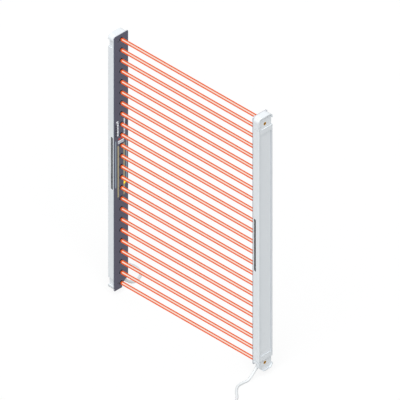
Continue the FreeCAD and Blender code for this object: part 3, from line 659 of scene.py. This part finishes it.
def rims(unit):
    """A fine chamfered ring that rounds off the mouth of each aperture."""
    profile = [
        (RIM_INNER + RIM_CHAMFER, TRIM_LIFT),
        (RIM_OUTER, TRIM_LIFT),
        (RIM_OUTER, -RIM_DEPTH),
        (RIM_INNER, -RIM_DEPTH),
        (RIM_INNER, -RIM_CHAMFER),
    ]

    def build(shape):
        for height in BEAM_HEIGHTS:
            place = pointing(unit.at(0, 0, height), unit.into_field)
            lathe(shape, profile, place, FINE_STEPS)

    mesh_piece(
        unit.name + "_aperture_rims",
        build,
        FINISHES["panel_slate"],
        smooth_below=30,
    )


def edges(unit):
    """Painted highlight: the rounded long edges and the top edge of the dark front, as bluish lines."""
    half = (unit.high.y - unit.low.y) / 2
    depth = (EDGE_SINK, EDGE_DEPTH)

    def build(shape):
        for side, foot in ((-1, EDGE_FOOT), (1, EDGE_FOOT_BY_CABLE)):
            outer = side * half
            inner = outer - side * EDGE_WIDTH
            ends = (unit.low.z + foot, unit.high.z - PANEL_CORNER)
            unit.block(shape, depth, (inner, outer), ends, EDGE_ROUND)
        across = (-(half - PANEL_CORNER), half - PANEL_CORNER)
        top = (unit.high.z - TOP_EDGE, unit.high.z - TOP_EDGE_INSET)
        unit.block(shape, (-TRIM_LIFT, EDGE_DEPTH), across, top, EDGE_ROUND)

    mesh_piece(
        unit.name + "_painted_edge_highlights", build, PAINTED_EDGE_HIGHLIGHT, smooth_below=35
    )


def screw_slots(unit):
    """Painted shade: a dark cross on each panel screw's head, in place of the shade inside its cross recess."""
    low, high = unit.box("panel_screws")
    across = unit.across(low, high)
    radius = (high.y - low.y) / 2

    def build(shape):
        for height in (low.z + radius, high.z - radius):
            for wide, tall in ((SLOT_LENGTH, SLOT_WIDTH), (SLOT_WIDTH, SLOT_LENGTH)):
                unit.block(
                    shape,
                    (SLOT_DEPTH, -TRIM_LIFT),
                    (across - wide / 2, across + wide / 2),
                    (height - tall / 2, height + tall / 2),
                )

    mesh_piece(unit.name + "_screw_slots", build, SHADE)


def status_lens(unit):
    """Domed yellow window over the status light's pipe."""
    low, high = unit.box("status_light")
    across = unit.across(low, high) + STATUS_ASIDE
    height = (low.z + high.z) / 2 + STATUS_UP

    def build(shape):
        unit.block(
            shape,
            (STATUS_SINK, -STATUS_LIFT),
            (across - STATUS_WIDTH / 2, across + STATUS_WIDTH / 2),
            (height - STATUS_HEIGHT / 2, height + STATUS_HEIGHT / 2),
            STATUS_ROUND,
        )

    mesh_piece(
        unit.name + "_status_lens",
        build,
        FINISHES["light_yellow"],
        smooth_below=35,
    )


for unit in UNIT.values():
    rims(unit)
    edges(unit)
    screw_slots(unit)
    status_lens(unit)

# ---- Brass inserts: a round face and the thread in the bore ----
INSERT_BORE = 1.65 * MM
INSERT_CHAMFER = 0.3 * MM
INSERT_OVERLAP = 0.08 * MM
INSERT_LIFT = 0.04 * MM
INSERT_SINK = 0.2 * MM
INSERT_THREAD = 0.12 * MM
INSERT_THREAD_ROOT = INSERT_BORE + 0.01 * MM
INSERT_THREAD_START = -2.5 * MM
INSERT_THREAD_LENGTH = 2.0 * MM
INSERT_PITCH = 0.7 * MM


def insert_face(unit, node):
    """The face of an insert at its mouth in the cap's back, and its thread."""
    low, high = unit.box(node)
    radius = (high.z - low.z) / 2
    mouth = Vector((
        low.x if unit.sign > 0 else high.x,
        (low.y + high.y) / 2,
        (low.z + high.z) / 2,
    ))
    place = pointing(mouth, -unit.into_field)
    profile = [
        (INSERT_BORE + INSERT_CHAMFER, INSERT_LIFT),
        (radius + INSERT_OVERLAP, INSERT_LIFT),
        (radius + INSERT_OVERLAP, -INSERT_SINK),
        (INSERT_BORE, -INSERT_SINK),
    ]

    def build(shape):
        lathe(shape, profile, place, FINE_STEPS)
        ridges(
            shape,
            place,
            INSERT_THREAD_ROOT,
            -INSERT_THREAD,
            INSERT_THREAD_START,
            INSERT_THREAD_LENGTH,
            INSERT_PITCH,
        )

    mesh_piece(
        unit.name + "_" + node + "_face",
        build,
        FINISHES["insert_brass"],
        smooth_below=30,
    )


for unit in UNIT.values():
    for node in ("top_insert", "bottom_insert"):
        insert_face(unit, node)

# ---- Printed marks on the optical faces: plain bars and ticks, in millimetres ----
PRINT_LIFT = 0.05 * MM
RED_BAR = ((-6.4, 4.2), (41.6, 44.2))  # ways across, heights
GRID_LEFT = -7.0
GRID_STEP = 1.65
GRID_COLUMNS = 8
GRID_ROWS = ((34.2, 1.3, 1.25), (36.1, 1.3, 1.25), (38.0, 2.0, 1.65))  # foot, height, width
# Columns of ticks: ways across, heights of the column's ends, lengths of the ticks, gap
WHITE_TICKS = (
    ((-8.9, -5.7), (50.0, 75.0), (2.6, 1.4, 3.4, 1.8), 0.9),
    ((-10.9, -6.2), (75.6, 78.2), (2.6,), 0.9),
    ((5.4, 8.4), (48.5, 77.5), (3.2, 1.2, 2.2, 1.6), 0.9),
)
BLACK_TICKS = (
    ((-12.2, -9.7), (50.0, 73.5), (3.0,), 1.8),
    ((9.2, 11.8), (62.5, 76.0), (2.2,), 1.6),
)


def patch(shape, unit, across, up):
    """One printed patch between two ways across and two heights."""
    unit.block(shape, (0, -PRINT_LIFT), [a * MM for a in across], [height * MM for height in up])


def tick_columns(shape, unit, columns):
    """Columns of short strokes, whose lengths repeat a list."""
    for across, (low, high), lengths, gap in columns:
        up = low
        i = 0
        while up < high:
            top = min(up + lengths[i % len(lengths)], high)
            patch(shape, unit, across, (up, top))
            up = top + gap
            i += 1


def printed_marks(unit):
    def red_bar(shape):
        patch(shape, unit, *RED_BAR)

    def white_marks(shape):
        for foot, tall, wide in GRID_ROWS:
            for column in range(GRID_COLUMNS):
                left = GRID_LEFT + column * GRID_STEP
                patch(shape, unit, (left, left + wide), (foot, foot + tall))
        tick_columns(shape, unit, WHITE_TICKS)

    def black_marks(shape):
        tick_columns(shape, unit, BLACK_TICKS)

    mesh_piece(unit.name + "_red_mark", red_bar, PRINT_RED)
    mesh_piece(unit.name + "_white_marks", white_marks, PRINT_WHITE)
    mesh_piece(unit.name + "_black_marks", black_marks, PRINT_BLACK)


for unit in UNIT.values():
    printed_marks(unit)

# ---- Light, world and floor ----
WHITE = (1, 1, 1, 1)
WORLD_COLOR = (0.98, 0.99, 1.0, 1)
WORLD_LEVEL = 0.55
SUN_STRENGTH = 2.7
SUN_TOWARDS = Vector((0.33, -0.47, 0.72)).normalized()
SUN_ANGLE = math.radians(50)
FLOOR_DROP = 0.1 * MM
FLOOR_SIZE = 6.0
FLOOR_SHADOW = 0.15
FLOOR_BOUNCE = 0.38
FLOOR_PAINT = 0.85


def seen_directly(tree):
    """1 for camera, glossy and transmission rays, and 0 for the rest."""
    path = tree.nodes.new("ShaderNodeLightPath")
    return either(
        tree,
        path.outputs["Is Camera Ray"],
        path.outputs["Is Glossy Ray"],
        path.outputs["Is Transmission Ray"],
    )


def studio():
    """A white backdrop with a dimmer ambient light of its own, and a wide sun."""
    world = bpy.data.worlds.new("studio")
    bpy.context.scene.world = world
    world.use_nodes = True
    tree = world.node_tree
    tree.nodes.clear()
    out = tree.nodes.new("ShaderNodeOutputWorld")
    mix = tree.nodes.new("ShaderNodeMixShader")
    ambient = tree.nodes.new("ShaderNodeBackground")
    ambient.inputs["Color"].default_value = WORLD_COLOR
    ambient.inputs["Strength"].default_value = WORLD_LEVEL
    white = tree.nodes.new("ShaderNodeBackground")
    white.inputs["Color"].default_value = WHITE
    white.inputs["Strength"].default_value = 1.0
    tree.links.new(seen_directly(tree), mix.inputs[0])
    tree.links.new(ambient.outputs[0], mix.inputs[1])
    tree.links.new(white.outputs[0], mix.inputs[2])
    tree.links.new(mix.outputs[0], out.inputs["Surface"])

    sun_data = bpy.data.lights.new("sun", "SUN")
    sun_data.energy = SUN_STRENGTH
    sun_data.angle = SUN_ANGLE
    sun = bpy.data.objects.new("sun", sun_data)
    sun.rotation_mode = "QUATERNION"
    sun.rotation_quaternion = (-SUN_TOWARDS).to_track_quat("-Z", "Y")
    bpy.context.scene.collection.objects.link(sun)


def floor():
    """A floor that is nearly white with a faint shadow to the camera, and greyer to the rest."""
    made = bpy.data.materials.new("floor_white")
    made.use_nodes = True
    tree = made.node_tree
    tree.nodes.clear()
    out = tree.nodes.new("ShaderNodeOutputMaterial")
    matte = tree.nodes.new("ShaderNodeBsdfDiffuse")
    paint = tree.nodes.new("ShaderNodeMix")
    paint.data_type = "RGBA"
    paint.inputs["A"].default_value = (FLOOR_BOUNCE, FLOOR_BOUNCE, FLOOR_BOUNCE, 1)
    paint.inputs["B"].default_value = (FLOOR_PAINT, FLOOR_PAINT, FLOOR_PAINT, 1)
    tree.links.new(seen_directly(tree), paint.inputs["Factor"])
    tree.links.new(paint.outputs["Result"], matte.inputs["Color"])
    white = tree.nodes.new("ShaderNodeEmission")
    white.inputs["Color"].default_value = WHITE
    white.inputs["Strength"].default_value = 1.0
    mix = tree.nodes.new("ShaderNodeMixShader")
    share = calculate(tree, "MULTIPLY", seen_directly(tree), 1 - FLOOR_SHADOW)
    tree.links.new(share, mix.inputs[0])
    tree.links.new(matte.outputs[0], mix.inputs[1])
    tree.links.new(white.outputs[0], mix.inputs[2])
    tree.links.new(mix.outputs[0], out.inputs["Surface"])
    level = CAD_BOX[0][2] - FLOOR_DROP

    def build(shape):
        half = FLOOR_SIZE / 2
        corners = [(-half, -half), (half, -half), (half, half), (-half, half)]
        shape.faces.new([shape.verts.new((curtain_middle.x + x, y, level)) for x, y in corners])

    plane = mesh_piece("floor", build, made, body=None)


studio()
floor()
bpy.context.scene.view_settings.view_transform = "Standard"
